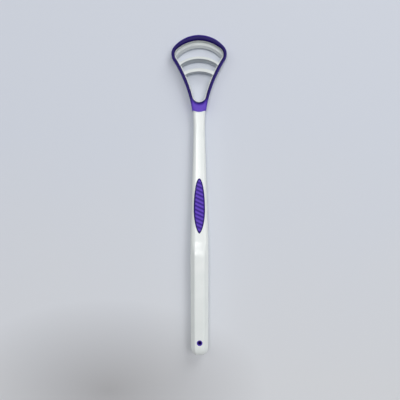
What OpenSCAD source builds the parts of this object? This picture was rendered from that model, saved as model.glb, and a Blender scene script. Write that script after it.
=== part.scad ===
// Tongue scraper: a faceted handle, a slim neck and a looped head with three
// arched blades. It lies on its back, blades up, with +Y towards the head,
// +X to the right and +Z up. The origin is under the middle of its length.
// All sizes are in millimetres.

/* [Overall] */
// Length from the end of the handle to the top of the head
overall_l = 190; // [180:1:210]

/* [Handle] */
// Width of the faceted handle at its widest
handle_w = 10.8; // [9.5:0.1:12]
// Thickness of the faceted handle
handle_t = 9; // [8:0.1:10]
// Width of the flat facet on top and underneath
facet_w = 5.9; // [5:0.1:7]
// Height of the sloping facets beside it
slope_facet_h = 2.4; // [2:0.1:2.8]
// Width close to the end of the handle
end_w = 10.4; // [9.5:0.1:11]
// Length over which the end is rounded off
end_round = 5.2; // [4:0.1:6]
// Width of the small flat that is left at the very end
end_flat_w = 4.8; // [4:0.1:6]
// Thickness left at the very end
end_flat_t = 3.8; // [3:0.1:5]
// Length of the faceted part, from the end
facets_l = 58.5; // [50:0.5:62]
// Length over which the facets fade into the round grip
fade_l = 9.5; // [8:0.5:11]

/* [Grip and neck] */
// Thickness where the facets have faded out
grip_t = 7.9; // [7.4:0.1:8.5]
// Width of the neck at its slimmest
neck_w = 6.8; // [6.4:0.1:7.4]
// Width of the neck where it meets the head
root_w = 7.3; // [7:0.1:7.8]
// Height of the top of the neck where it meets the head
root_top = 6.2; // [5.8:0.1:6.6]
// Height of the underside of the neck where it meets the head
root_lift = 1.4; // [1:0.1:1.6]
// Distance from the slimmest place to the head
waist_back = 8.5; // [6:0.5:12]

/* [Grip pad] */
// Length of the soft pad
pad_l = 32.6; // [28:0.2:34]
// Width of the soft pad at its widest
pad_w = 6.7; // [6:0.1:7]
// Length from the pad's lower tip to its widest place
pad_foot_l = 14.1; // [12:0.1:16]
// Distance from the end of the handle to the pad's lower tip
pad_at = 71.9; // [70:0.1:76]
// Thickness of the pad over the floor of its pocket, at the upper tip
pad_t = 1.5; // [1.2:0.1:1.8]
// How far the pad's border stands above the handle
pad_proud = 0.15; // [0.1:0.05:0.3]
// How far the ribs stand above the pad's border
rib_h = 0.4; // [0.2:0.05:0.6]
// Width of one rib
rib_w = 1.25; // [1:0.05:1.5]
// Distance from one rib to the next along the handle
rib_pitch = 2.4; // [2.2:0.1:2.8]
// Slant of the ribs, down to the right
rib_angle = 26; // [15:1:32]
// Width of the plain border round the ribs
pad_border = 0.6; // [0.4:0.05:0.9]
// Diameter of the pegs that anchor the pad
peg_d = 2.4; // [2:0.1:3]
// Length of the pegs below the pad
peg_l = 1.8; // [1.2:0.1:2.2]
// Distance between the two pegs
peg_gap = 14; // [10:0.5:16]

/* [Head] */
// Width of the head
head_w = 33; // [30:0.2:36]
// Width over the legs where their arcs come closest, inside the web
throat_w = 6.6; // [5.8:0.1:7.4]
// Height of the arch over the centres of the head's shoulders
arch_h = 11.15; // [10.5:0.05:12]
// Radius of the head's shoulders
shoulder_r = 6.4; // [6:0.1:7.4]
// Radius with which the legs swing out from the neck
swing_r = 78; // [74:1:82]
// Radius of the foot of the loop
loop_r = 4.1; // [3.6:0.1:4.4]
// Width of the soft rim along the legs
rim_w = 1.75; // [1.65:0.05:2]
// Width of the soft rim at the top of the arch
rim_top_w = 2.9; // [2.6:0.1:3.2]
// Height of the top of the soft rim
rim_top = 6; // [5.6:0.1:6.4]
// Height of the rounding along the rim's top edges
rim_round = 1; // [0.7:0.05:1.2]
// Height of the rounding along the rim's lower outer edge
rim_hem = 0.45; // [0.3:0.05:0.6]
// Height of the underside of the head
head_lift = 1.5; // [1.2:0.1:1.8]
// Width of the hard ledge that shows inside the rim
ledge_w = 0.65; // [0.5:0.05:0.8]
// How far that ledge lies below the top of the rim
ledge_down = 1.5; // [1.3:0.1:2]
// Thickness of the soft skin outside the hard core
skin_w = 0.55; // [0.5:0.05:0.6]

/* [Web] */
// Width of the head at the corners of the web
collar_w = 8.4; // [8:0.1:8.8]
// How far the web's lower border bulges towards the handle
web_bulge = 1.3; // [0.8:0.1:1.6]
// How far the web stands above the neck
web_proud = 0.15; // [0.1:0.05:0.25]
// Width of the tang that joins head and neck
tang_w = 4.2; // [3.6:0.1:4.6]
// Thickness of the tang
tang_t = 2; // [1.6:0.1:2.2]
// Length of the tang inside the neck
tang_l = 6; // [4:0.5:8]

/* [Blades] */
// Radius of the blades' arches
blade_r = 19; // [17:0.1:21]
// Height of the top edges of the middle and lower blades
blade_top = 5.2; // [4.8:0.1:5.6]
// Width of the middle blade's top edge
middle_w = 1.4; // [1:0.1:1.5]
// Width of the lower blade's top edge
lower_w = 2; // [1.4:0.1:2.1]
// How far a blade's back swells towards its base
blade_back_run = 0.15; // [0.05:0.05:0.2]
// Height of the upper blade, a low lip under the rim
lip_top = 2.7; // [2.6:0.1:3.4]
// How far the upper blade's front slopes out towards its base
upper_run = 1.4; // [0.8:0.1:1.6]
// How far the middle blade's front slopes out towards its base
middle_run = 1; // [0.6:0.1:1.1]
// How far the lower blade's front slopes out towards its base
lower_run = 0.3; // [0.2:0.1:0.8]
// Distance from the top of the head to the upper blade's edge
upper_at = 5.6; // [5.4:0.1:5.8]
// Distance from the top of the head to the middle blade's edge
middle_at = 14.2; // [14:0.1:14.4]
// Distance from the top of the head to the lower blade's edge
lower_at = 21.8; // [21.6:0.1:22.4]

/* [Hanging hole] */
// Diameter of the hanging hole
hang_d = 2; // [1.6:0.1:2.4]
// Outside diameter of the soft bush that lines it
bush_d = 3.2; // [3:0.1:3.6]
// Distance from the end of the handle to the hole
hang_at = 7.6; // [7:0.1:10]
// Height of the chamfer at each mouth of the hole
mouth_chamfer = 0.2; // [0.1:0.05:0.3]

/* [Hidden] */

hard_white = "#eef1f2";
soft_purple = "#4a35a0";

// Overrun of the cuts, and clearance of the tang, the pegs and the bush
cut_over = 0.5;
fit_gap = 0.05;
// Segments of the round holes, the pegs and the blades' arches
bore_fn = 48;
arch_fn = 180;

// Roundness of the neck: 2 is an ellipse and more is squarer
round_power = 2.6;
// How soon the width and the thickness fall off along the grip
narrow_power = 1.1;
thin_power = 1.3;
// How blunt the pad's two ends are: 1 is an ellipse and more is sharper
pad_tip_power = 1;
pad_foot_power = 1.3;

// Places along the handle
end_y = -overall_l / 2;
top_y = overall_l / 2;
round_y = end_y + end_round;
facets_y = end_y + facets_l;
grip_y = facets_y + fade_l;

// Radius of an arch that rises h over the shoulders' centres and touches both
// shoulders, whose radius is r
function arch_radius(h, r) = (pow(shoulder_x, 2) + pow(h, 2) - pow(r, 2)) / (2 * (h - r));

// Centre of each shoulder, and the arch between them
shoulder_x = head_w / 2 - shoulder_r;
shoulder_c = [shoulder_x, top_y - arch_h];
arch_r = arch_radius(arch_h, shoulder_r);
arch_a = atan2(arch_r - arch_h, shoulder_x);

// The legs swing in towards the neck on an arc that leaves each shoulder smoothly
// and comes to half the throat's width at its closest
flare = acos(1 - (head_w - throat_w) / 2 / (shoulder_r + swing_r));
swing_c = shoulder_c + (shoulder_r + swing_r) * [cos(flare), -sin(flare)];

// The web's corners lie on that arc, and its lower border is an arc through them
corner_x = collar_w / 2;
corner_a = acos((swing_c[0] - corner_x) / swing_r);
corner_y = swing_c[1] + swing_r * sin(corner_a);
border_y = corner_y - web_bulge;
border_r = (pow(corner_x, 2) + pow(web_bulge, 2)) / (2 * web_bulge);

// Inner edge of the rim: the foot of the loop touches both legs, and the arch is
// drawn so that the rim has its two widths and still touches the shoulders
foot_reach = swing_r + rim_w + loop_r;
foot_a = acos(swing_c[0] / foot_reach);
loop_c = [0, swing_c[1] + foot_reach * sin(foot_a)];
inner_shoulder_r = shoulder_r - rim_w;
inner_arch_h = arch_h - rim_top_w;
inner_arch_r = arch_radius(inner_arch_h, inner_shoulder_r);
inner_arch_a = atan2(inner_arch_r - inner_arch_h, shoulder_x);

// Where the neck is slimmest
waist_y = border_y - waist_back;

// Heights in the head
ledge_top = rim_top - ledge_down;
web_top = root_top + web_proud;
web_base = root_lift - web_proud;
web_mid = (web_top + web_base) / 2;
web_half_t = (web_top - web_base) / 2;
// Half width of the web's crown, a little more than its corners
crown_share = 1.015;
crown_half_w = corner_x * crown_share;

// Outer face of the hard core under the rim, as a share of the rim's width
core_share = 1 - skin_w / rim_w;
crest_share = 0.5;
// Share of the loop's foot that faces the web's lower border
foot_split_share = 0.45;

// The pad's widest place, its upper tip and the floor of its pocket
pad_foot_y = end_y + pad_at;
pad_mid_y = pad_foot_y + pad_foot_l;
pad_tip_y = pad_foot_y + pad_l;
pad_floor = body_top(pad_tip_y) - pad_t;

// Steps along the curves
section_steps = 4;
end_steps = 6;
fade_steps = 6;
neck_steps = 16;
pad_steps = 12;
border_steps = 5;
foot_steps = 5;
leg_steps = 8;
shoulder_steps = 8;
arch_steps = 8;
round_steps = 3;
hem_steps = 2;

function mix(a, b, t) = a + (b - a) * t;
function clamp(t) = max(0, min(1, t));
function smooth(t) = let (s = clamp(t)) s * s * (3 - 2 * s);
function part_of(y, from, to) = clamp((y - from) / (to - from));
function flip(p) = [-p[0], p[1]];

// Width of the handle and neck at a place along them
function body_w(y) =
    y < facets_y ? mix(end_w, handle_w, part_of(y, round_y, facets_y))
    : y < waist_y ? neck_w + (handle_w - neck_w) * pow(1 - part_of(y, grip_y, waist_y), narrow_power)
    : mix(neck_w, root_w, smooth(part_of(y, waist_y, border_y)));

// Heights of their top and underside at a place along them
function body_top(y) =
    y < grip_y ? mix(handle_t, grip_t, smooth(part_of(y, facets_y, grip_y)))
    : root_top + (grip_t - root_top) * pow(1 - part_of(y, grip_y, border_y), thin_power);
function body_base(y) = root_lift * smooth(part_of(y, pad_mid_y, border_y));

// How much of the facets is left, and how far the end has closed in
function facets_left(y) = 1 - smooth(part_of(y, facets_y, grip_y));
function end_close(y) = 1 - sqrt(1 - pow(1 - part_of(y, end_y, round_y), 2));

// Unit outline of the handle: an octagon, each side cut into steps
function corners() =
    let (f = facet_w / handle_w, s = 1 - 2 * slope_facet_h / handle_t)
    [[1, -s], [1, s], [f, 1], [-f, 1], [-1, s], [-1, -s], [-f, -1], [f, -1]];
function octagon() =
    let (c = corners(), n = len(c))
    [for (i = [0 : n - 1], k = [0 : section_steps - 1]) mix(c[i], c[(i + 1) % n], k / section_steps)];
// The same point drawn in to a rounded outline
function rounded(p) =
    p / pow(pow(abs(p[0]), round_power) + pow(abs(p[1]), round_power), 1 / round_power);

// Cross-section of the handle and neck at y, grown outwards by extra
function section(y, extra) =
    let (
        left = facets_left(y),
        close = end_close(y),
        hw = mix(body_w(y) / 2, end_flat_w / 2, close) + extra,
        full_t = (body_top(y) - body_base(y)) / 2,
        ht = mix(full_t, end_flat_t / 2, close) + extra,
        mid = (body_top(y) + body_base(y)) / 2
    )
    [for (p = octagon()) let (q = mix(rounded(p), p, left)) [q[0] * hw, y, mid + q[1] * ht]];

// Places along the handle and neck where sections are drawn
body_places = concat(
    [for (i = [0 : end_steps - 1]) end_y + end_round * (1 - cos(90 * i / end_steps))],
    [round_y],
    [for (i = [0 : fade_steps - 1]) mix(facets_y, grip_y, i / fade_steps)],
    [for (i = [0 : neck_steps]) mix(grip_y, corner_y + cut_over, i / neck_steps)]
);
pad_places = [for (i = [0 : pad_steps])
    mix(pad_foot_y - cut_over, pad_tip_y + cut_over, i / pad_steps)];

// Skin over a row of closed rings, all with the same number of points
function tube_faces(rings, points, closed) = [
    for (i = [0 : rings - (closed ? 1 : 2)], k = [0 : points - 1])
        let (
            a = i * points + k,
            b = i * points + (k + 1) % points,
            c = ((i + 1) % rings) * points + (k + 1) % points,
            d = ((i + 1) % rings) * points + k
        )
        each [[a, b, c], [a, c, d]]
];

// Solid body of the handle and neck through the given places
module body_loft(places, extra) {
    rings = [for (y = places) section(y, extra)];
    n = len(rings[0]);
    last = (len(rings) - 1) * n;
    polyhedron(
        points = [for (ring = rings) each ring],
        faces = concat(
            tube_faces(len(rings), n, false),
            [[for (k = [n - 1 : -1 : 0]) k]],
            [[for (k = [0 : n - 1]) last + k]]
        )
    );
}

// Right edge of one end of the pad, drawn in by inset: far is the end's length
function pad_end(far, power, inset) =
    [for (i = [0 : pad_steps])
        let (a = 90 * i / pad_steps)
        [(pad_w / 2 - inset) * pow(cos(a), power), (far - inset) * sin(a)]];
// Right edge of the whole pad, from its lower tip to its upper tip
function pad_right(inset) =
    let (
        foot = pad_end(pad_foot_l, pad_foot_power, inset),
        tip = pad_end(pad_l - pad_foot_l, pad_tip_power, inset)
    )
    concat(
        [for (i = [pad_steps : -1 : 1]) [foot[i][0], pad_mid_y - foot[i][1]]],
        [for (p = tip) [p[0], pad_mid_y + p[1]]]
    );
function pad_outline(inset) =
    let (right = pad_right(inset), n = len(right))
    concat(right, [for (i = [n - 2 : -1 : 1]) flip(right[i])]);

// Column over an outline, from a height up past the handle's top
module column(outline, from) {
    translate([0, 0, from])
        linear_extrude(handle_t - from + cut_over)
            polygon(outline);
}

module peg_pair(d, from, to) {
    for (side = [-1, 1])
        translate([0, pad_mid_y + side * peg_gap / 2, from])
            cylinder(d = d, h = to - from, $fn = bore_fn);
}

// Slanted ribs over the pad, cut to its inner outline
module rib_strips() {
    reach = pad_l - pad_foot_l - pad_border;
    first = -floor((pad_foot_l - pad_border) / rib_pitch);
    last = floor(reach / rib_pitch);
    intersection() {
        polygon(pad_outline(pad_border));
        for (i = [first : last])
            translate([0, pad_mid_y + i * rib_pitch])
                rotate(-rib_angle)
                    square([2 * pad_w, rib_w], center = true);
    }
}

// Right half of the rim's outer edge, from the web's foot up to the arch's top
outer_half = concat(
    [for (i = [0 : border_steps - 1])
        let (x = corner_x * i / border_steps)
        [x, border_y + border_r - sqrt(pow(border_r, 2) - pow(x, 2))]],
    [for (i = [0 : foot_steps - 1])
        let (a = mix(corner_a, foot_a, i / foot_steps))
        swing_c + swing_r * [-cos(a), sin(a)]],
    [for (i = [0 : leg_steps - 1])
        let (a = mix(foot_a, flare, i / leg_steps))
        swing_c + swing_r * [-cos(a), sin(a)]],
    [for (i = [0 : shoulder_steps - 1])
        let (a = mix(-flare, arch_a, i / shoulder_steps))
        shoulder_c + shoulder_r * [cos(a), sin(a)]],
    [for (i = [0 : arch_steps])
        let (a = mix(arch_a, 90, i / arch_steps))
        [0, top_y - arch_r] + arch_r * [cos(a), sin(a)]]
);

// The same places on the rim's inner edge, drawn in by inset
function inner_half(inset) =
    let (
        foot_r = loop_r - inset,
        split_a = mix(-90, -foot_a, foot_split_share),
        leg_r = swing_r + rim_w + inset,
        r = inner_shoulder_r - inset
    )
    concat(
        [for (i = [0 : border_steps - 1])
            let (a = mix(-90, split_a, i / border_steps))
            loop_c + foot_r * [cos(a), sin(a)]],
        [for (i = [0 : foot_steps - 1])
            let (a = mix(split_a, -foot_a, i / foot_steps))
            loop_c + foot_r * [cos(a), sin(a)]],
        [for (i = [0 : leg_steps - 1])
            let (a = mix(foot_a, flare, i / leg_steps))
            swing_c + leg_r * [-cos(a), sin(a)]],
        [for (i = [0 : shoulder_steps - 1])
            let (a = mix(-flare, inner_arch_a, i / shoulder_steps))
            shoulder_c + r * [cos(a), sin(a)]],
        [for (i = [0 : arch_steps])
            let (a = mix(inner_arch_a, 90, i / arch_steps))
            [0, top_y - rim_top_w - inner_arch_r] + (inner_arch_r - inset) * [cos(a), sin(a)]]
    );

half_n = len(outer_half);
ring_n = 2 * half_n - 2;

// Both halves as one ring
function ring(half) = concat(half, [for (i = [half_n - 2 : -1 : 1]) flip(half[i])]);
function half_index(i) = i < half_n ? i : ring_n - i;
// A line along the rim, at a share of its width from its inner edge
function along_rim(share) =
    let (inner = inner_half(0))
    ring([for (i = [0 : half_n - 1]) mix(inner[i], outer_half[i], share)]);

// How far a station has come from the web's corner to the legs
function legs_reached(i) = smooth((i - border_steps) / foot_steps);
// Height of the web's rounded crown over its middle, at its border
function crown(x) = web_half_t * pow(1 - pow(min(x / crown_half_w, 1), round_power), 1 / round_power);

// Cross-section of the rim at a station: [share of the rim's width, height]
function rim_section(i) =
    let (
        k = half_index(i),
        t = legs_reached(k),
        rise = crown(outer_half[min(k, border_steps)][0]),
        top = mix(web_top, rim_top, t),
        base = mix(web_base, head_lift, t),
        in_top = top - rim_round,
        out_top = mix(web_mid + rise, rim_top - rim_round, t),
        out_base = mix(web_mid - rise, head_lift + rim_hem, t),
        step = 90 / round_steps,
        hem_step = 90 / hem_steps
    )
    concat(
        [[0, ledge_top], [0, in_top]],
        [for (j = [1 : round_steps])
            [crest_share * (1 - cos(j * step)), in_top + (top - in_top) * sin(j * step)]],
        [for (j = [1 : round_steps])
            [mix(crest_share, 1, sin(j * step)), out_top + (top - out_top) * cos(j * step)]],
        [[1, out_base]],
        [for (j = [1 : hem_steps])
            [mix(core_share, 1, cos(j * hem_step)), mix(out_base, head_lift, sin(j * hem_step))]],
        [[core_share, ledge_top]]
    );

module rim_ring() {
    inner = ring(inner_half(0));
    outer = ring(outer_half);
    sections = [for (i = [ring_n - 1 : -1 : 0])
        [for (p = rim_section(i))
            let (q = mix(inner[i], outer[i], p[0]))
            [q[0], q[1], p[1]]]];
    polyhedron(
        points = [for (s = sections) each s],
        faces = tube_faces(ring_n, len(sections[0]), true)
    );
}

// Flat ring between two lines along the rim
module ring_wall(outer, inner, from, to) {
    translate([0, 0, from])
        linear_extrude(to - from)
            difference() {
                polygon(outer);
                polygon(inner);
            }
}

// The tang, grown by a gap on every side
module tang(gap) {
    wide = tang_w + 2 * gap;
    thick = tang_t + 2 * gap;
    from = border_y - tang_l - gap;
    root = mix(loop_c[1] - loop_r, border_y, core_share / 2);
    translate([-wide / 2, from, web_mid - thick / 2])
        cube([wide, root - from, thick]);
}

// One arched blade: a wedge turned about a centre on the middle line
module blade(at, top, edge_w, front_run) {
    centre_y = top_y - at - blade_r;
    difference() {
        intersection() {
            translate([0, centre_y, 0])
                rotate_extrude($fn = arch_fn)
                    polygon([
                        [blade_r - front_run, head_lift],
                        [blade_r + edge_w + blade_back_run, head_lift],
                        [blade_r + edge_w, top],
                        [blade_r, top]
                    ]);
            translate([0, 0, head_lift])
                linear_extrude(top - head_lift + cut_over)
                    intersection() {
                        polygon(ring(inner_half(0)));
                        translate([-head_w / 2, centre_y])
                            square([head_w, 2 * blade_r]);
                    }
        }
        ring_wall(ring(inner_half(-cut_over)), ring(inner_half(ledge_w)), head_lift - cut_over, ledge_top);
    }
}

module handle() {
    color(hard_white)
        difference() {
            body_loft(body_places, 0);
            column(pad_outline(0), pad_floor);
            peg_pair(peg_d + 2 * fit_gap, pad_floor - peg_l, pad_floor + cut_over);
            translate([0, end_y + hang_at, -cut_over])
                cylinder(d = bush_d + 2 * fit_gap, h = handle_t + 2 * cut_over, $fn = bore_fn);
            translate([0, 0, -cut_over])
                linear_extrude(handle_t)
                    polygon(along_rim(1));
            tang(fit_gap);
        }
}

module grip_pad() {
    color(soft_purple) {
        intersection() {
            column(pad_outline(0), pad_floor);
            body_loft(pad_places, pad_proud);
        }
        intersection() {
            translate([0, 0, pad_floor])
                linear_extrude(handle_t)
                    rib_strips();
            body_loft(pad_places, pad_proud + rib_h);
        }
        peg_pair(peg_d, pad_floor - peg_l, pad_floor + cut_over);
    }
}

module hang_hole_bush() {
    color(soft_purple)
        translate([0, end_y + hang_at, 0])
            rotate_extrude($fn = bore_fn)
                polygon([
                    [hang_d / 2 + mouth_chamfer, 0],
                    [bush_d / 2, 0],
                    [bush_d / 2, handle_t],
                    [hang_d / 2 + mouth_chamfer, handle_t],
                    [hang_d / 2, handle_t - mouth_chamfer],
                    [hang_d / 2, mouth_chamfer]
                ]);
}

module head_frame() {
    color(hard_white) {
        ring_wall(along_rim(core_share), ring(inner_half(ledge_w)), head_lift, ledge_top);
        tang(0);
    }
}

module head_rim() {
    color(soft_purple)
        difference() {
            rim_ring();
            tang(0);
        }
}

module upper_blade() {
    color(hard_white) blade(upper_at, lip_top, upper_at - rim_top_w + cut_over, upper_run);
}

module middle_blade() {
    color(hard_white) blade(middle_at, blade_top, middle_w, middle_run);
}

module lower_blade() {
    color(hard_white) blade(lower_at, blade_top, lower_w, lower_run);
}

handle();
grip_pad();
hang_hole_bush();
head_frame();
head_rim();
upper_blade();
middle_blade();
lower_blade();
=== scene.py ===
# %% [markdown]
# # A tongue scraper, piece by piece
#
# The tool is one hard white moulding with soft purple plastic moulded over it in three
# places: round the loop, in the grip and round the hanging hole. It has no moving part.
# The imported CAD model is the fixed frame: it gives the sizes and the places, and every
# new piece here takes the place of one of its solids. The new pieces have what plain
# solids lack: rounded edges, ribs, fillets and finishes.

import bpy
import bmesh
import numpy as np
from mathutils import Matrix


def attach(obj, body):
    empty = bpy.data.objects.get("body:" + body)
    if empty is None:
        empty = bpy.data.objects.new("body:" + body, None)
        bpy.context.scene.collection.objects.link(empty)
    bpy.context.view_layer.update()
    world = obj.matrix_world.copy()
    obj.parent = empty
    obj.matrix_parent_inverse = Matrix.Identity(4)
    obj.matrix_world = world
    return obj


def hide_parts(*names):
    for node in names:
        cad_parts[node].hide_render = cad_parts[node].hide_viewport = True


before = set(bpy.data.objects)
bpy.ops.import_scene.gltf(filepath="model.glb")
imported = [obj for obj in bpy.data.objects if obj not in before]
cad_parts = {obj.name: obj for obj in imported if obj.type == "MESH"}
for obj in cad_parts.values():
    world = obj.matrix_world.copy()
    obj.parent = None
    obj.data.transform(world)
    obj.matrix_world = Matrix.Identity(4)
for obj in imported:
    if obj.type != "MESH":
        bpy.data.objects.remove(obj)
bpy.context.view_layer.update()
scene = bpy.context.scene
print("CAD nodes:", sorted(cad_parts))

# %% [markdown]
# ## From a formula to a mesh
#
# Each piece could be pushed into shape by hand, or made from a primitive with
# modifiers. Here each one is a grid instead: row after row of points, worked out by a
# formula as one array. That keeps the CAD's sizes to the hundredth of a millimetre, and
# a changed number moves the whole shape. The pieces' sizes are in millimetres. The
# camera, the floor and the lamps are in metres, as Blender has them.

# %% Blends and steps
MM = 0.001


def mix(a, b, t):
    """a where t is 0, b where t is 1, and a straight line between them."""
    return a + (b - a) * t


def part_of(y, start, end):
    """How far y has come from start to end, kept between 0 and 1."""
    return np.clip((y - start) / (end - start), 0, 1)


def smooth(t):
    """An S-shaped step from 0 to 1: three times t squared less two times t cubed."""
    t = np.clip(t, 0, 1)
    return t * t * (3 - 2 * t)


print("a smooth step at a quarter, a half and three quarters:", smooth([0.25, 0.5, 0.75]))

# %% Faces of a grid


def grid_faces(rows, cols, ring=False, loop=False, start=0):
    """Quads between neighbouring points of a grid. ring joins the last column to the
    first, and loop joins the last row to the first."""
    i = np.arange(rows if loop else rows - 1)[:, None]
    k = np.arange(cols if ring else cols - 1)[None, :]
    i2, k2 = (i + 1) % rows, (k + 1) % cols
    corners = [i * cols + k, i * cols + k2, i2 * cols + k2, i2 * cols + k]
    return start + np.stack(np.broadcast_arrays(*corners), -1).reshape(-1, 4)


def zipped(start, count):
    """Quads that close a ring of an even number of points: each pair of neighbours
    is joined to the pair that faces it."""
    i = np.arange(count // 2 - 1)
    return start + np.stack([i, i + 1, count - 2 - i, count - 1 - i], -1)


def bar_faces(rows, cols):
    """Faces of a bar: rings one after the other, with both ends zipped shut."""
    return np.concatenate([grid_faces(rows, cols, ring=True), zipped(0, cols),
                           zipped((rows - 1) * cols, cols)])


print("a bar of 5 rings with 8 points each has", len(bar_faces(5, 8)), "quads")

# %% [markdown]
# Where a grid runs together into one point, as at a pole, its points lie on each other.
# They could be left so, but the skin would have a pinhole there. So they are welded, and
# the faces that fold up in that go.

# %% Welding
STEPS_PER_MM = 1e4


def weld(points, quads):
    """Points closer than a ten-thousandth of a millimetre become one. A quad that
    loses a corner becomes a triangle, and one that loses two is left out."""
    _, first, now = np.unique(np.round(points * STEPS_PER_MM).astype(np.int64), axis=0,
                              return_index=True, return_inverse=True)
    quads = now.ravel()[quads]
    double = quads == np.roll(quads, 1, axis=1)
    crossed = (quads[:, 0] == quads[:, 2]) | (quads[:, 1] == quads[:, 3])
    fours = quads[(double.sum(1) == 0) & ~crossed]
    one = (double.sum(1) == 1) & ~crossed
    threes = quads[one][~double[one]].reshape(-1, 3)
    used, again = np.unique(np.concatenate([fours.ravel(), threes.ravel()]),
                            return_inverse=True)
    split = fours.size
    return first[used], again[:split].reshape(-1, 4), again[split:].reshape(-1, 3)


fan = np.array([[0, 0, 0], [0, 0, 0], [1, 0, 0], [1, 1, 0]])
print("a quad with a doubled corner becomes", weld(fan, np.array([[0, 1, 2, 3]]))[2])

# %% From a grid to an object


def make_piece(name, points, quads, **attributes):
    """A smooth-shaded, welded object from points in millimetres and quads. Each
    attribute is one number per point that the material can read."""
    points = np.asarray(points, float).reshape(-1, 3)
    keep, fours, threes = weld(points, quads)
    mesh = bpy.data.meshes.new(name)
    mesh.vertices.add(len(keep))
    mesh.vertices.foreach_set("co", (points[keep] * MM).astype(np.float32).ravel())
    corners = np.concatenate([fours.ravel(), threes.ravel()])
    sizes = np.concatenate([np.full(len(fours), 4), np.full(len(threes), 3)])
    mesh.loops.add(len(corners))
    mesh.loops.foreach_set("vertex_index", corners.astype(np.int32))
    mesh.polygons.add(len(sizes))
    mesh.polygons.foreach_set("loop_start", (np.cumsum(sizes) - sizes).astype(np.int32))
    mesh.update(calc_edges=True)
    for label, values in attributes.items():
        layer = mesh.attributes.new(label, "FLOAT", "POINT")
        layer.data.foreach_set("value", np.ravel(values)[keep].astype(np.float32))
    shape = bmesh.new()
    shape.from_mesh(mesh)
    bmesh.ops.recalc_face_normals(shape, faces=shape.faces)
    open_edges = sum(not edge.is_manifold for edge in shape.edges)
    volume = shape.calc_volume() / MM ** 3
    shape.to_mesh(mesh)
    shape.free()
    mesh.polygons.foreach_set("use_smooth", np.ones(len(sizes), bool))
    piece = bpy.data.objects.new(name, mesh)
    scene.collection.objects.link(piece)
    print(f"{name}: {len(fours) * 2 + len(threes)} triangles, {open_edges} open edges, "
          f"{volume:.0f} mm3")
    return piece


def place(piece, node, material):
    """The piece rides on the one body, stands for a CAD node and gets its finish."""
    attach(piece, "root")
    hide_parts(node)
    piece.data.materials.append(material)


# %% [markdown]
# ## Camera and frame
#
# The photograph looks straight down on the tool, so its widths and lengths are both
# true. A camera without any turn looks down -Z with +Y up in the picture. Its distance
# and focal length come from how much wider the high parts look than the low ones. The
# tool lies a tenth of a degree askew in the picture, so the camera is rolled by that.

# %% The camera
FOCAL_PX, PICTURE_PX, SENSOR_W = 477.5, 400, 36
CAMERA_AT, ROLL = (0.0004, -0.00326, 0.2893), -0.002
view = bpy.data.cameras.new("camera")
view.sensor_width = SENSOR_W
view.lens = FOCAL_PX / PICTURE_PX * SENSOR_W
camera = bpy.data.objects.new("camera", view)
camera.location = CAMERA_AT
camera.rotation_euler = (0, 0, ROLL)
scene.collection.objects.link(camera)
scene.camera = camera
print("lens", round(view.lens, 2), "mm")

# %% [markdown]
# ## Colours and nodes
#
# Colours are written as sRGB hex, as a paint chart would give them. Blender mixes light
# in linear numbers, so one function turns the hex value into those. A second small
# function adds a node with its settings and its links, and a few more put names on the
# nodes that come up again and again.

# %% Colour and node helpers


def linear(hex_colour):
    """sRGB hex to linear RGBA: each channel over 12.92 near black, else a power law."""
    c = np.array([int(hex_colour[i:i + 2], 16) for i in (1, 3, 5)]) / 255
    c = np.where(c <= 0.04045, c / 12.92, ((c + 0.055) / 1.055) ** 2.4)
    return (*c.tolist(), 1.0)


def node(tree, kind, inputs=None, **settings):
    """Adds a node. inputs are values, or the output sockets that feed it."""
    made = tree.nodes.new(kind)
    for key, value in settings.items():
        setattr(made, key, value)
    for key, value in (inputs or {}).items():
        if isinstance(value, bpy.types.NodeSocket):
            tree.links.new(value, made.inputs[key])
        else:
            made.inputs[key].default_value = value
    return made


def new_material(name):
    """An empty node material, its tree and its Object coordinates."""
    material = bpy.data.materials.new(name)
    material.use_nodes = True
    tree = material.node_tree
    tree.nodes.clear()
    return material, tree, node(tree, "ShaderNodeTexCoord").outputs["Object"]


def shaded(tree, **inputs):
    """The Principled shader with these inputs, wired to the material's output."""
    sockets = {key.replace("_", " "): value for key, value in inputs.items()}
    shader = node(tree, "ShaderNodeBsdfPrincipled", sockets)
    node(tree, "ShaderNodeOutputMaterial", {"Surface": shader.outputs["BSDF"]})
    print(len(tree.nodes), "nodes")


print("mid grey #808080 is", round(linear("#808080")[0], 3), "in linear light")

# %% Pattern helpers


def noise(tree, spot, size, detail):
    """Cloudy noise whose lumps are about size millimetres across."""
    return node(tree, "ShaderNodeTexNoise",
                {"Vector": spot, "Scale": 1 / (size * MM), "Detail": detail}).outputs["Fac"]


def ranged(tree, value, start, end, low, high):
    """low where the value is at start, high where it is at end."""
    return node(tree, "ShaderNodeMapRange",
                {"Value": value, "From Min": start, "From Max": end,
                 "To Min": low, "To Max": high}).outputs["Result"]


def attribute(tree, name):
    """The number that the mesh carries under a name."""
    return node(tree, "ShaderNodeAttribute", attribute_name=name).outputs["Fac"]


def bump(tree, height, strength, depth, **below):
    """A bumpy normal, depth millimetres deep, on top of the one below."""
    return node(tree, "ShaderNodeBump",
                {"Strength": strength, "Distance": depth * MM, "Height": height, **below}
                ).outputs["Normal"]


def colour_ramp(tree, value, *stops):
    """A ramp through (place, hex colour) stops, read at value."""
    ramp = node(tree, "ShaderNodeValToRGB", {"Fac": value})
    ends = ramp.color_ramp.elements
    ends[0].position, ends[0].color = stops[0][0], linear(stops[0][1])
    ends[1].position, ends[1].color = stops[-1][0], linear(stops[-1][1])
    for at, colour in stops[1:-1]:
        ends.new(at).color = linear(colour)
    return ramp.outputs["Color"]


def blend(tree, share, first, second, **settings):
    """Two colours mixed by a share. Sockets 6 and 7 are the colours of the node."""
    return node(tree, "ShaderNodeMix", {"Factor": share, 6: first, 7: second},
                data_type="RGBA", **settings).outputs[2]


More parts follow.
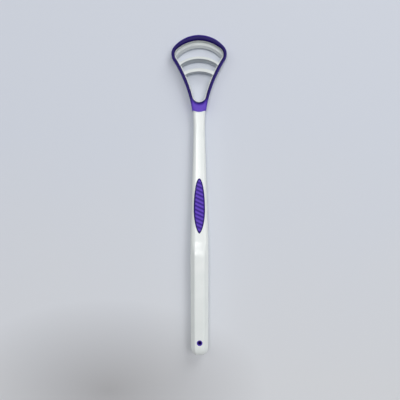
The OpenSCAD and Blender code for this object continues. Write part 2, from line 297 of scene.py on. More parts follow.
# %% [markdown]
# ## The hard plastic: glossy moulded ABS
#
# The core is injection moulded in a polished tool. What the eye sees is a clean
# highlight, very slightly wavy because thick plastic shrinks as it cools, and a white
# that isn't even: a little cooler in places. The waves are about 5 mm long. The polish
# marks are finer than the picture shows, so they are drawn at 0.5 mm. The blades are
# thin, so less white lies behind their skin and they look a little greyer. Real depth
# would need slow scattering light. They carry a grey share instead, and the colour reads
# it: a little for thin plastic, and much more as painted shade on the blades' steep
# fronts and on the low lip, where the faces lie in shade.

# %% Glossy moulded white
hard_white, tree, spot = new_material("glossy_moulded_ABS")
cloud = noise(tree, spot, 9, 2.0)
thick = colour_ramp(tree, cloud, (0.3, "#eef3f1"), (0.7, "#f3f7f5"))
# Painted shade: the grey share on the blades and the lip greys the white towards #b0b6bd, a
# little for thin plastic and mostly where the faces lie in shade.
tone = blend(tree, attribute(tree, "thin"), thick, linear("#b0b6bd"))
polish = noise(tree, spot, 0.5, 3.0)
gloss = ranged(tree, polish, 0.3, 0.7, 0.17, 0.25)
sink_marks = bump(tree, noise(tree, spot, 5, 1.0), 0.25, 0.1)
grain = bump(tree, polish, 0.08, 0.02, Normal=sink_marks)
shaded(tree, Base_Color=tone, Roughness=gloss, IOR=1.54, Normal=grain)

# %% [markdown]
# ## The soft plastic: satin moulded TPE
#
# The purple is a soft elastomer, a second shot over the white. It is a little clear, so
# the white core shines through where it is thin, as in the web, and it looks almost
# black-violet where it is deep, as in the rim. Each piece carries how deep its plastic
# is, from 0 to 1, and the colour reads that. The same number also carries painted light
# and shade: the pad's ribs are painted lighter as a highlight and its grooves and border
# darker as painted shade, the rim's outer flank is painted lighter as a reflection, the
# web is lighter partly for its thin layer and partly as a painted sheen, and the bush is
# lighter partly for its thin wall and partly as painted light in the hole. The tool's
# fine spark texture is 0.1 mm, drawn here at 0.25 mm.

# %% Satin moulded purple
soft_purple, tree, spot = new_material("satin_moulded_TPE")
blotch = noise(tree, spot, 2.5, 2.0)
shift = node(tree, "ShaderNodeMath", {0: blotch, 1: 0.12, 2: -0.06},
             operation="MULTIPLY_ADD").outputs[0]
# The depth number read here is plastic depth with painted light and shade added on top.
deep = node(tree, "ShaderNodeMath", {0: attribute(tree, "depth"), 1: shift},
            operation="ADD").outputs[0]
tone = colour_ramp(tree, deep, (0.0, "#6b49cc"), (0.35, "#4a2ba6"), (0.7, "#2a1478"),
                   (1.0, "#1a0a5c"))
spark = noise(tree, spot, 0.25, 2.0)
satin = ranged(tree, spark, 0.3, 0.7, 0.42, 0.55)
shaded(tree, Base_Color=tone, Roughness=satin, IOR=1.45, Specular_IOR_Level=0.25,
       Normal=bump(tree, spark, 0.2, 0.03))

# %% [markdown]
# ## The handle's outline
#
# The handle starts as an eight-sided bar and fades into a rounded neck. One unit
# outline does for both. For the bar, the distance out to each facet is combined by a
# power mean: with a power of 40 the nearest facet wins, and only the corners soften, as
# a mould's edges do. For the neck it is a superellipse of power 3.4 with a narrow flat
# on top, which a power mean cuts off in the same way. The two outlines are mixed
# along the fade, and the result is then stretched to the width and height there.

# %% Sizes of the handle and the head
END_Y, TOP_Y = -95.0, 95.0
HANDLE_W, HANDLE_T, FACET_W, SLOPE_H = 10.8, 9.0, 5.9, 2.4
END_W, END_ROUND, END_FLAT_W, END_FLAT_T = 10.4, 5.2, 4.8, 3.8
ROUND_Y, FACETS_Y, GRIP_Y = END_Y + END_ROUND, END_Y + 58.5, END_Y + 68.0
GRIP_T, NECK_W, ROOT_W, ROOT_TOP, ROOT_LIFT, WAIST_BACK = 7.9, 6.8, 7.3, 6.2, 1.4, 8.5
NARROW_POWER, THIN_POWER = 1.1, 1.3
CORNER_POWER, ROUND_POWER, LID_POWER = 40, 3.4, 60
LID_FROM_SHARE, LID_TO_SHARE, LID_FADE = 0.16, 0.46, 8
PAD_L, PAD_W, PAD_FOOT_L, PAD_FOOT_Y = 32.6, 6.7, 14.1, END_Y + 71.9
PAD_MID_Y, PAD_TIP_Y = PAD_FOOT_Y + PAD_FOOT_L, PAD_FOOT_Y + PAD_L
PAD_T, PAD_FOOT_POWER, PAD_TIP_POWER = 1.5, 1.3, 1.0
HEAD_W, THROAT_W, ARCH_H, SHOULDER_R, SWING_R = 33.0, 6.6, 11.15, 6.4, 78.0
COLLAR_W, WEB_BULGE, WEB_PROUD, WEB_POWER = 8.4, 1.3, 0.15, 2.6

shoulder_x = HEAD_W / 2 - SHOULDER_R
shoulder_y = TOP_Y - ARCH_H
flare = np.arccos(1 - (HEAD_W - THROAT_W) / 2 / (SHOULDER_R + SWING_R))
swing_x = shoulder_x + (SHOULDER_R + SWING_R) * np.cos(flare)
swing_y = shoulder_y - (SHOULDER_R + SWING_R) * np.sin(flare)
corner_a = np.arccos((swing_x - COLLAR_W / 2) / SWING_R)
corner_y = swing_y + SWING_R * np.sin(corner_a)
border_y = corner_y - WEB_BULGE
border_r = ((COLLAR_W / 2) ** 2 + WEB_BULGE ** 2) / (2 * WEB_BULGE)
waist_y = border_y - WAIST_BACK
print(f"web border at y {border_y:.2f}, waist at {waist_y:.2f}")

# %% Width and height along the handle


def body_w(y):
    """Full width at y: widening bar, then a power curve down to the neck's waist,
    then a smooth step out to the root."""
    bar = mix(END_W, HANDLE_W, part_of(y, ROUND_Y, FACETS_Y))
    left = (1 - part_of(y, GRIP_Y, waist_y)) ** NARROW_POWER
    grip = NECK_W + (HANDLE_W - NECK_W) * left
    root = mix(NECK_W, ROOT_W, smooth(part_of(y, waist_y, border_y)))
    return np.where(y < FACETS_Y, bar, np.where(y < waist_y, grip, root))


def body_top(y):
    """Height of the top at y: a smooth step down, then a power curve to the root."""
    step = mix(HANDLE_T, GRIP_T, smooth(part_of(y, FACETS_Y, GRIP_Y)))
    left = (1 - part_of(y, GRIP_Y, border_y)) ** THIN_POWER
    return np.where(y < GRIP_Y, step, ROOT_TOP + (GRIP_T - ROOT_TOP) * left)


def body_base(y):
    """Height of the underside at y: flat, then a smooth rise towards the root."""
    return ROOT_LIFT * smooth(part_of(y, PAD_MID_Y, border_y))


def half_sizes(y, extra=0.0):
    """Half width, half thickness and middle height at y, closing in at the end along
    a quarter of an ellipse."""
    close = 1 - np.sqrt(1 - (1 - part_of(y, END_Y, ROUND_Y)) ** 2)
    half_w = mix(body_w(y) / 2, END_FLAT_W / 2, close) + extra
    half_t = mix((body_top(y) - body_base(y)) / 2, END_FLAT_T / 2, close) + extra
    return half_w, half_t, (body_top(y) + body_base(y)) / 2


PAD_FLOOR = float(body_top(np.array(PAD_TIP_Y))) - PAD_T
print(f"pocket floor at z {PAD_FLOOR:.2f}")

# %% The outline in each direction


def unit_radius(angle, y):
    """Distance from the middle of the unit outline in a direction: the power mean of
    the facets, mixed with the superellipse by how much of the facets is left. The lid
    is a level line, so its distance is its height over the sine."""
    c, s = np.abs(np.cos(angle)), np.abs(np.sin(angle))
    f, h = FACET_W / HANDLE_W, 1 - 2 * SLOPE_H / HANDLE_T
    slope = ((1 - h) * c + (1 - f) * s) / (1 - f * h)
    facets = (c ** CORNER_POWER + s ** CORNER_POWER
              + slope ** CORNER_POWER) ** (-1 / CORNER_POWER)
    rounded = (c ** ROUND_POWER + s ** ROUND_POWER) ** (-1 / ROUND_POWER)
    lid_w = mix(LID_FROM_SHARE, LID_TO_SHARE, part_of(y, PAD_TIP_Y, border_y))
    lid_h = (1 - lid_w ** ROUND_POWER) ** (1 / ROUND_POWER)
    lid = (np.maximum(np.sin(angle), 0) / lid_h) ** LID_POWER
    lid = lid * smooth(part_of(y, PAD_TIP_Y - LID_FADE, PAD_TIP_Y))
    rounded = (rounded ** -LID_POWER + lid) ** (-1 / LID_POWER)
    return mix(facets, rounded, smooth(part_of(y, FACETS_Y, GRIP_Y)))


def body_point(angle, y, extra=0.0):
    """The outline's x and z in a direction at y."""
    half_w, half_t, middle = half_sizes(y, extra)
    r = unit_radius(angle, y)
    return r * np.cos(angle) * half_w, middle + r * np.sin(angle) * half_t


def halved(low, high, too_low):
    """The place between low and high where too_low turns false, halved 40 times."""
    for _ in range(40):
        middle = (low + high) / 2
        up = too_low(middle)
        low, high = np.where(up, middle, low), np.where(up, high, middle)
    return (low + high) / 2


def angle_over(x, y, extra=0.0):
    """The upper direction whose point stands over x: x falls steadily while the
    direction turns from right to left."""
    shape = np.broadcast(x, y).shape
    return halved(np.zeros(shape), np.full(shape, np.pi),
                  lambda angle: body_point(angle, y, extra)[0] > x)


def height_over(x, y, extra=0.0):
    """Height of the handle's upper skin over x and y."""
    return body_point(angle_over(x, y, extra), y, extra)[1]


def pad_half(y, inset=0.0):
    """Half width of the almond outline at y: a cosine to a power for each of the two
    ends, whose sine is the way along that end."""
    foot = y < PAD_MID_Y
    far = np.where(foot, PAD_FOOT_L, PAD_L - PAD_FOOT_L) - inset
    sine = np.clip(np.abs(y - PAD_MID_Y) / far, 0, 1)
    power = np.where(foot, PAD_FOOT_POWER, PAD_TIP_POWER)
    return (PAD_W / 2 - inset) * np.sqrt(1 - sine ** 2) ** power


print(f"top of the neck at its waist: z {float(height_over(0.0, waist_y)):.2f}")

# %% [markdown]
# ## The handle
#
# The handle could be cut with booleans, but those leave ragged shading round a cut. Here
# the grid's lines do the work. A strip of 24 cells runs along the top and parts round
# the pad's pocket, as water parts round a stone, and inside the pocket it drops to the
# floor. The rows bunch up where the shape turns quickly. Edges are rounded by a lip of
# 0.12 mm, whose middle point lies 0.293 of that inwards, as on a quarter circle.

# %% Rows along the handle
STRIP, SIDE, HALF = 24, 72, 12
HOLE_Y, BORE_R, HOLE_BLOCK = END_Y + 7.6, 1.65, 2.2
BEND_Y, NEXT_ROW = 44, 0.05
quarter = np.linspace(0, np.pi / 2, 19)
turn = np.linspace(-np.pi / 2, np.pi / 2, 121)
row_groups = [
    END_Y + END_ROUND * (1 - np.cos(quarter)),
    np.linspace(HOLE_Y - HOLE_BLOCK, HOLE_Y + HOLE_BLOCK, STRIP + 1),
    np.linspace(HOLE_Y + HOLE_BLOCK, FACETS_Y, 26)[1:-1],
    np.append(np.linspace(FACETS_Y, PAD_FOOT_Y - NEXT_ROW, 25), PAD_FOOT_Y),
    PAD_MID_Y + np.where(turn < 0, PAD_FOOT_L, PAD_L - PAD_FOOT_L) * np.sin(turn),
    np.append(PAD_TIP_Y, np.linspace(PAD_TIP_Y + NEXT_ROW, BEND_Y, 33)),
    np.linspace(BEND_Y, border_y, 18)[1:],
]
row_y = np.concatenate(row_groups)[:, None]
hole_row = len(row_groups[0])
pocket_row = sum(len(group) for group in row_groups[:4])
in_pocket = np.zeros(row_y.shape, bool)
in_pocket[pocket_row:pocket_row + len(row_groups[4])] = True
print(len(row_y), "rows,", in_pocket.sum(), "of them in the pocket")

# %% The strip along the top
SLIM, WIDE, NARROWS_Y, WIDENS_Y = 0.16, 1.2, -70, 34
LIP, PAST_FLOOR, LIP_FADE = 0.12, 99, 0.5
MID_LIP = 0.293 * LIP
end_share = half_sizes(row_y)[0] / (END_W / 2)
plain_half = np.where(row_y < HOLE_Y, HOLE_BLOCK * np.minimum(end_share, 1), HOLE_BLOCK)
to_pad = mix(plain_half, SLIM, smooth(part_of(row_y, NARROWS_Y, PAD_FOOT_Y)))
from_pad = mix(SLIM, WIDE, smooth(part_of(row_y, PAD_TIP_Y, WIDENS_Y)))
strip_half = np.where(row_y > PAD_TIP_Y, from_pad, to_pad)
strip_half = np.where(in_pocket, np.maximum(pad_half(row_y), SLIM), strip_half)

even = np.linspace(1, -1, STRIP + 1)[None, :]
inner = np.concatenate([[1, 1, 1], np.linspace(1, -1, STRIP - 5), [-1, -1, -1]])[None, :]
lip_out = np.zeros(STRIP + 1)
lip_out[:3] = LIP, MID_LIP, 0
lip_out = lip_out - lip_out[::-1]
fade = np.clip(pad_half(row_y) / LIP_FADE, 0, 1)
top_x = np.where(in_pocket, inner * strip_half + lip_out * fade, even * strip_half)
top_y = np.broadcast_to(row_y, top_x.shape).copy()
dip = in_pocket * np.concatenate(
    [[0, MID_LIP, LIP], np.full(STRIP - 5, PAST_FLOOR), [LIP, MID_LIP, 0]])[None, :]
dip = dip * np.where(dip < 1, fade, 1)
print(f"the pocket is {np.ptp(top_x[in_pocket[:, 0]]):.2f} mm wide with its lips")

# %% [markdown]
# Round the hanging hole the square strip is bent into rings: ring 8 is the bore, and
# from ring 10 on the rings turn back into the square. The underside has the same block.

# %% Rings round the hole
BORE_RING = 8
LIP_RINGS = BORE_RING + np.arange(3)
ring_i, ring_k = np.meshgrid(np.arange(-HALF, HALF + 1), np.arange(HALF, -HALF - 1, -1),
                             indexing="ij")
ring_no = np.maximum(np.abs(ring_i), np.abs(ring_k))
away = np.maximum(np.hypot(ring_i, ring_k), 1e-9)
reach = BORE_R + np.interp(ring_no, LIP_RINGS, [0, MID_LIP, LIP])
square = np.clip((ring_no - LIP_RINGS[-1]) / (HALF - LIP_RINGS[-1]), 0, 1)
hole_x = mix(ring_k / away * reach, ring_k / HALF * HOLE_BLOCK, square)
hole_y = HOLE_Y + mix(ring_i / away * reach, ring_i / HALF * HOLE_BLOCK, square)
hole_dip = np.interp(ring_no, LIP_RINGS, [LIP, MID_LIP, 0])
block = slice(hole_row, hole_row + STRIP + 1)
top_x[block], top_y[block], dip[block] = hole_x, hole_y, hole_dip

base_x = -even * plain_half
base_y, base_dip = np.broadcast_to(row_y, base_x.shape).copy(), np.zeros(base_x.shape)
base_x[block], base_y[block], base_dip[block] = hole_x[:, ::-1], hole_y[:, ::-1], hole_dip
print(f"the bore is {np.ptp(hole_x[ring_no == BORE_RING]):.2f} mm wide")

# %% [markdown]
# The strips say over which x and y a point lies. Its direction from the middle is found
# by halving, and the two sides are filled with even steps of the direction. Near the
# head the rows bend to meet the web's curved border.

# %% The handle's skin
WEB_TOP, WEB_BASE = ROOT_TOP + WEB_PROUD, ROOT_LIFT - WEB_PROUD
WEB_MID = (WEB_TOP + WEB_BASE) / 2
top_angle, base_angle = angle_over(top_x, top_y), -angle_over(base_x, base_y)
side = np.arange(1, SIDE)[None, :] / SIDE
left = mix(top_angle[:, -1:], 2 * np.pi + base_angle[:, :1], side)
right = mix(base_angle[:, -1:], top_angle[:, :1], side)
side_y = np.broadcast_to(row_y, left.shape)
xs, ys, zs = [], [], []
for angle, along, drop in ((top_angle, top_y, dip), (left, side_y, 0),
                           (base_angle, base_y, -base_dip), (right, side_y, 0)):
    x, z = body_point(angle, along)
    xs.append(x), ys.append(along), zs.append(z - drop)
x, y, z = (np.concatenate(group, 1) for group in (xs, ys, zs))
z[:, :STRIP + 1] = np.maximum(z[:, :STRIP + 1], np.where(in_pocket, PAD_FLOOR, -1))


def web_border(x):
    """y of the web's border over x: an arc that bulges towards the handle."""
    return border_y + border_r - np.sqrt(border_r ** 2 - x ** 2)


y = y + smooth(part_of(y, BEND_Y, border_y)) * (web_border(x) - border_y)
rings = np.stack([x, y, z], -1)
print("skin of", rings.shape[0], "rings with", rings.shape[1], "points each")

# %% [markdown]
# The skin is closed by a flat end and, at the neck, by a face with the slot for the
# tang. Last, the cells inside ring 8 go, and the bore's wall joins top and underside.

# %% Closing rings
END_SHARES = np.array([0, 0.4, 0.75, 0.93])
TANG_W, TANG_T, TANG_L, FIT, BOX_POWER = 4.2, 2.0, 6.0, 0.05, 12


def box_radius(angle):
    """Distance to the edge of a square with softened corners: a superellipse."""
    return (np.abs(np.cos(angle)) ** BOX_POWER
            + np.abs(np.sin(angle)) ** BOX_POWER) ** (-1 / BOX_POWER)


cols = rings.shape[1]
end_middle = np.array([0, END_Y, HANDLE_T / 2])
end_rings = mix(end_middle, rings[0], END_SHARES[:, None, None])
around = np.arctan2(rings[-1, :, 2] - WEB_MID, rings[-1, :, 0])
slot_x = box_radius(around) * np.cos(around) * (TANG_W / 2 + FIT)
slot_z = WEB_MID + box_radius(around) * np.sin(around) * (TANG_T / 2 + FIT)
deep_y = np.full(cols, border_y - TANG_L - FIT)
slot_rings = np.stack([np.stack([slot_x, web_border(slot_x), slot_z], -1),
                       np.stack([slot_x, deep_y, slot_z], -1),
                       np.stack([slot_x * 0, deep_y, slot_z * 0 + WEB_MID], -1)])
skin_rings = np.concatenate([end_rings, rings, slot_rings])
print(f"slot {np.ptp(slot_x):.2f} mm wide and {np.ptp(slot_z):.2f} mm high")

# %% Handle with its pocket, its bore and its slot
quads = grid_faces(len(skin_rings), cols, ring=True)
row_of, col_of = quads[:, 0] // cols, quads[:, 0] % cols
first_row, base_col = len(end_rings) + hole_row, STRIP + SIDE
inside = np.abs(row_of - first_row - HALF + 0.5) < BORE_RING
over_hole = inside & ((np.abs(col_of - HALF + 0.5) < BORE_RING)
                      | (np.abs(col_of - base_col - HALF + 0.5) < BORE_RING))
walk, stay = np.arange(-BORE_RING, BORE_RING), np.full(2 * BORE_RING, BORE_RING)
walk_i = np.concatenate([walk, stay, -walk, -stay]) + HALF
walk_k = np.concatenate([-stay, walk, stay, -walk]) + HALF
mouth = (first_row + walk_i) * cols + walk_k
under = (first_row + walk_i) * cols + base_col + STRIP - walk_k
wall = np.stack([mouth, np.roll(mouth, -1), np.roll(under, -1), under], -1)
handle = make_piece("handle_shell", skin_rings, np.concatenate([quads[~over_hole], wall]))
place(handle, "handle", hard_white)

# %% [markdown]
# ## The ribbed pad
#
# The soft pad is a thin almond that swells a little out of its pocket, with slanted ribs
# for the thumb. It could be a flat sheet with a bump texture, but the ribs are
# 0.4 mm high and catch light on their shoulders, so they are real shape. The height over
# each point is the handle's skin, a small dome at the border and the ribs: a wave across
# the slanted direction, pressed flat on top and faded out before the border.

# %% The pad's outline and its rounded edge
EASE, EDGE_R, EDGE_SHARE = 0.02, 0.22, 0.6
turn = np.linspace(-np.pi / 2, np.pi / 2, 381)[:, None]
far = np.where(turn < 0, PAD_FOOT_L, PAD_L - PAD_FOOT_L) - EASE
pad_y = PAD_MID_Y + far * np.sin(turn)
half = pad_half(pad_y, EASE)
edge = np.minimum(EDGE_R, half * EDGE_SHARE)
bow = np.linspace(0, np.pi / 2, 5)[None, :]
flat = np.linspace(1, -1, 45)[None, 1:-1]
rim_x, bow_sag = half - edge * (1 - np.cos(bow)), edge * (1 - np.sin(bow))
pad_x = np.concatenate([half, rim_x, flat * (half - edge), -rim_x[:, ::-1], -half], 1)
sag = np.concatenate([half * 0, bow_sag, flat * half * 0, bow_sag[:, ::-1], half * 0], 1)
print(f"pad {np.ptp(pad_x):.2f} mm wide and {np.ptp(pad_y):.2f} mm long")

# %% Ribs and grip pad
PAD_PROUD, RIB_H, RIB_W, RIB_PITCH, RIB_ANGLE, PAD_BORDER = 0.15, 0.4, 1.25, 2.4, 26, 0.6
RIB_FOOT, RIB_SLOPE, BORDER_SLOPE = 0.2, 0.5, 0.4
BORDER_SHADE, VALLEY_SHADE, RIDGE_SHADE = 0.85, 0.45, 0.0
slant = np.radians(RIB_ANGLE)
across = pad_x * np.sin(slant) + (pad_y - PAD_MID_Y) * np.cos(slant)
step = RIB_PITCH * np.cos(slant)
off_rib = np.abs(across - step * np.round(across / step))
ridge = smooth((RIB_W / 2 + RIB_FOOT - off_rib) / RIB_SLOPE)
inside = smooth((pad_half(pad_y, PAD_BORDER) - np.abs(pad_x)) / BORDER_SLOPE)
pad_z = height_over(pad_x, pad_y, PAD_PROUD) - sag + RIB_H * ridge * inside
pad_z[:, [0, -1]] = PAD_FLOOR
pad_points = np.stack(np.broadcast_arrays(pad_x, pad_y, pad_z), -1)
# Painted light and shade: the ribs' tops are painted lightest as a highlight, the grooves
# darker and the border darkest as painted shade.
pad_shade = mix(mix(BORDER_SHADE, VALLEY_SHADE, inside), RIDGE_SHADE, ridge * inside)
pad = make_piece("ribbed_pad", pad_points, grid_faces(*pad_x.shape, ring=True),
                 depth=pad_shade)
place(pad, "grip_pad", soft_purple)

# %% [markdown]
# ## The hanging hole's bush
#
# A short tube of the soft plastic lines the hole. A turned shape is a profile carried
# round an axis: here a ring of 96 copies of one closed outline with rounded lips.

# %% Bush
BUSH_R, HANG_R, OUTER_LIP, INNER_LIP, BUSH_STEPS, BUSH_DEPTH_AND_LIGHT = 1.6, 1.0, 0.1, 0.25, 96, 0.3


def turned(profile, centre, steps):
    """Rings of a closed (radius, height) profile round an upright axis: x is the
    radius times the cosine and y is the radius times the sine."""
    angle = np.linspace(0, 2 * np.pi, steps, endpoint=False)[:, None]
    r, z = profile[:, 0], profile[:, 1]
    return np.stack([centre[0] + r * np.cos(angle), centre[1] + r * np.sin(angle),
                     np.broadcast_to(z, (steps, len(z)))], -1)


def rounded_corner(x, z, toward_x, toward_z, radius, steps=5):
    """Points of a quarter circle that rounds off a square corner at x, z."""
    a = np.linspace(0, np.pi / 2, steps)
    return np.stack([x + toward_x * radius * (1 - np.sin(a)),
                     z + toward_z * radius * (1 - np.cos(a))], -1)


bush_profile = np.concatenate([
    rounded_corner(BUSH_R, HANDLE_T, -1, -1, OUTER_LIP)[::-1],
    rounded_corner(HANG_R, HANDLE_T, 1, -1, INNER_LIP),
    rounded_corner(HANG_R, 0, 1, 1, INNER_LIP)[::-1],
    rounded_corner(BUSH_R, 0, -1, 1, OUTER_LIP),
])
bush_points = turned(bush_profile, (0, HOLE_Y), BUSH_STEPS)
bush = make_piece("hole_bush", bush_points,
                  grid_faces(BUSH_STEPS, len(bush_profile), ring=True, loop=True),
                  # The bush's light tone is partly its thin wall and partly painted light,
                  # so the inside of the hole reads lighter than its shade.
                  depth=np.full(bush_points.shape[:2], BUSH_DEPTH_AND_LIGHT))
place(bush, "hang_hole_bush", soft_purple)

# %% [markdown]
# ## Lines round the loop
#
# The head is a teardrop of arcs that touch: an arch over the top, two shoulders, two
# long legs that swing in, and a small foot. The outer and inner edge of the rim are
# drawn with the same stations, so that any line between them is a plain mix of the two.

# %% Where the arcs meet
RIM_W, RIM_TOP_W, LOOP_R, FOOT_SHARE = 1.75, 2.9, 4.1, 0.45
RIM_TOP, RIM_ROUND, RIM_HEM, HEAD_LIFT = 6.0, 1.0, 0.45, 1.5
LEDGE_W, LEDGE_TOP, SKIN_W = 0.65, 4.5, 0.55
STEPS = {"border": 30, "foot": 24, "leg": 60, "shoulder": 44, "arch": 60}


def arch_radius(height, radius):
    """Radius of an arch that rises so high over the shoulders and touches both."""
    return (shoulder_x ** 2 + height ** 2 - radius ** 2) / (2 * (height - radius))


arch_r = arch_radius(ARCH_H, SHOULDER_R)
inner_r = arch_radius(ARCH_H - RIM_TOP_W, SHOULDER_R - RIM_W)
arch_a = np.arctan2(arch_r - ARCH_H, shoulder_x)
inner_a = np.arctan2(inner_r - (ARCH_H - RIM_TOP_W), shoulder_x)
foot_a = np.arccos(swing_x / (SWING_R + RIM_W + LOOP_R))
loop_y = swing_y + (SWING_R + RIM_W + LOOP_R) * np.sin(foot_a)
print(f"arch radius {arch_r:.2f} mm outside and {inner_r:.2f} mm inside")

# %% The loop's outer and inner lines


def arc(cx, cy, radius, start, end, steps, last=False):
    """Points on a circle from one angle to another."""
    a = np.linspace(start, end, steps + 1)[:None if last else -1]
    return np.stack([cx + radius * np.cos(a), cy + radius * np.sin(a)], -1)


def outer_half():
    """Right half of the outer edge, from the web's middle up to the arch's top."""
    x = np.linspace(0, COLLAR_W / 2, STEPS["border"] + 1)[:-1]
    return np.concatenate([
        np.stack([x, web_border(x)], -1),
        arc(swing_x, swing_y, SWING_R, np.pi - corner_a, np.pi - foot_a, STEPS["foot"]),
        arc(swing_x, swing_y, SWING_R, np.pi - foot_a, np.pi - flare, STEPS["leg"]),
        arc(shoulder_x, shoulder_y, SHOULDER_R, -flare, arch_a, STEPS["shoulder"]),
        arc(0, TOP_Y - arch_r, arch_r, arch_a, np.pi / 2, STEPS["arch"], last=True),
    ])


def inner_half(inset=0.0):
    """The same stations on the inner edge, drawn in by inset."""
    split = mix(-np.pi / 2, -foot_a, FOOT_SHARE)
    leg = SWING_R + RIM_W + inset
    return np.concatenate([
        arc(0, loop_y, LOOP_R - inset, -np.pi / 2, split, STEPS["border"]),
        arc(0, loop_y, LOOP_R - inset, split, -foot_a, STEPS["foot"]),
        arc(swing_x, swing_y, leg, np.pi - foot_a, np.pi - flare, STEPS["leg"]),
        arc(shoulder_x, shoulder_y, SHOULDER_R - RIM_W - inset, -flare, inner_a,
            STEPS["shoulder"]),
        arc(0, TOP_Y - RIM_TOP_W - inner_r, inner_r - inset, inner_a, np.pi / 2,
            STEPS["arch"], last=True),
    ])


def whole(half):
    """Both halves as one closed ring, the left one being the mirrored right one."""
    return np.concatenate([half, half[-2:0:-1] * (-1, 1)])


outer_line, inner_line = whole(outer_half()), whole(inner_half())
ledge_line = whole(inner_half(LEDGE_W))
half_n = sum(STEPS.values()) + 1
station = np.concatenate([np.arange(half_n), np.arange(half_n - 2, 0, -1)])
legs = smooth((station - STEPS["border"]) / STEPS["foot"])
print(f"{len(station)} stations, loop {np.ptp(outer_line[:, 0]):.1f} mm wide")


def carried(shares, heights):
    """Sections carried round the loop: shares go across from the inner line to the
    outer line, and heights go up. Both are (station, point) arrays."""
    flat = mix(inner_line[:, None, :], outer_line[:, None, :], shares[:, :, None])
    return np.concatenate([flat, heights[:, :, None]], -1)


# %% [markdown]
# ## The soft rim and its web
#
# The rim is a fat bead, rounded on top, that caps the hard core and skirts its outside.
# Over the arch it hangs a little past the core on the inside, as its dark shade there
# shows. Towards the neck the bead spreads into the web, which wraps over the root of the
# neck with a crowned top. One section is carried round the whole loop, and its heights
# change from the rim's to the web's between the legs' feet and the corners.

# %% Heights of the rim's section
CROWN_EASE = 1.015
web_x = np.abs(outer_line[np.minimum(station, STEPS["border"]), 0])
crown_x = np.minimum(web_x / (COLLAR_W / 2 * CROWN_EASE), 1)
crown = (WEB_TOP - WEB_BASE) / 2 * (1 - crown_x ** WEB_POWER) ** (1 / WEB_POWER)
top = mix(WEB_TOP, RIM_TOP, legs)[:, None]
base = mix(WEB_BASE, HEAD_LIFT, legs)[:, None]
in_top = top - RIM_ROUND
out_top = mix(WEB_MID + crown, RIM_TOP - RIM_ROUND, legs)[:, None]
out_base = mix(WEB_MID - crown, HEAD_LIFT + RIM_HEM, legs)[:, None]
quarter = np.linspace(0, np.pi / 2, 9)[None, :]
hem = np.linspace(0, np.pi / 2, 5)[None, 1:]
one = np.ones((len(station), 1))
notch_low = np.minimum(np.maximum(WEB_MID - TANG_T / 2, out_base), out_top)
notch_high = np.maximum(np.minimum(WEB_MID + TANG_T / 2, out_top), out_base)
rim_heights = np.concatenate([
    one * LEDGE_TOP, in_top + (top - in_top) * np.sin(quarter),
    out_top + (top - out_top) * np.cos(quarter[:, 1:]),
    notch_high, notch_high, notch_low, notch_low,
    out_base, mix(out_base, HEAD_LIFT, np.sin(hem)), one * LEDGE_TOP], 1)
print(f"rim from z {rim_heights.min():.2f} to {rim_heights.max():.2f}")

# %% Shares across the rim's section
CORE, NOTCH_GAP = 1 - SKIN_W / RIM_W, 0.01
OVERHANGS = [0, 0.55, 0.3]
joints = np.cumsum(list(STEPS.values()))[2:]
rim_width = np.hypot(*(outer_line - inner_line).T)
over = -(np.interp(station, joints, OVERHANGS) / rim_width)[:, None]
in_tang = (web_x <= TANG_W / 2)[:, None] & (legs[:, None] == 0)
notch = np.where(in_tang, CORE + NOTCH_GAP, 1.0)
rim_shares = np.concatenate([
    over, mix(over, 0.5, 1 - np.cos(quarter)), mix(0.5, 1, np.sin(quarter[:, 1:])) * one,
    one, notch, notch, one,
    one, mix(CORE, 1, np.cos(hem)) * one, one * CORE], 1)
print(f"rim {rim_width.min():.2f} mm to {rim_width.max():.2f} mm across")

# %% Soft rim
BEAD_DEPTH, OUTER_PAINTED_LIGHT, WEB_DEPTH_AND_SHEEN = 0.95, 0.35, 0.02
WEB_FADE_POWER, IN_FROM, IN_FADE, OUT_FROM, OUT_FADE = 0.7, 0.05, 0.4, 0.55, 0.3
SKIRT_H = 1
rim_points = carried(rim_shares, rim_heights)
in_web = ((1 - legs)[:, None] ** WEB_FADE_POWER
          * smooth((rim_shares - IN_FROM) / IN_FADE))
outer_part = (smooth((rim_shares - OUT_FROM) / OUT_FADE)
              * (rim_heights > HEAD_LIFT + SKIRT_H))
# Painted light: the bead is dark for its depth, its outer flank is painted lighter as a
# reflection, and the web is lighter partly for its thin layer over the white and partly as
# a painted sheen.
rim_depth_and_shade = mix(BEAD_DEPTH - OUTER_PAINTED_LIGHT * outer_part, WEB_DEPTH_AND_SHEEN, in_web)
rim = make_piece("soft_rim", rim_points,
                 grid_faces(*rim_shares.shape, ring=True, loop=True), depth=rim_depth_and_shade)
place(rim, "head_rim", soft_purple)

# %% [markdown]
# ## The hard frame in the loop
#
# Under the soft rim a hard core runs all round and shows inside as a narrow ledge. On
# the real tool it is one with the blades and the neck. It is carried round the loop as
# the rim is, with a softened edge, and a flat tang reaches from it into the neck.

# %% Ledge and core
SOFT_EDGE = 0.2
edge_turn = np.linspace(0, np.pi / 2, 5)
ledge_in = SOFT_EDGE * (1 - np.sin(edge_turn))
ledge_down = SOFT_EDGE * (1 - np.cos(edge_turn))
away = (inner_line - ledge_line) / LEDGE_W
ledge_top = ledge_line[:, None, :] + away[:, None, :] * ledge_in[::-1][None, :, None]
ledge_base = ledge_line[:, None, :] + away[:, None, :] * ledge_in[None, :, None]
up = np.broadcast_to(LEDGE_TOP - ledge_down[::-1], ledge_top.shape[:2])[:, :, None]
low = np.broadcast_to(HEAD_LIFT + ledge_down, ledge_base.shape[:2])[:, :, None]
core_shares = np.array([0, CORE, CORE])[None, :] * one
core_heights = np.array([LEDGE_TOP, LEDGE_TOP, HEAD_LIFT])[None, :] * one
frame_points = np.concatenate([
    np.concatenate([ledge_base, low], -1)[:, ::-1],
    np.concatenate([ledge_top, up], -1)[:, ::-1],
    carried(core_shares, core_heights)], 1)
print("ledge and core have", frame_points.shape[1], "points in each section")

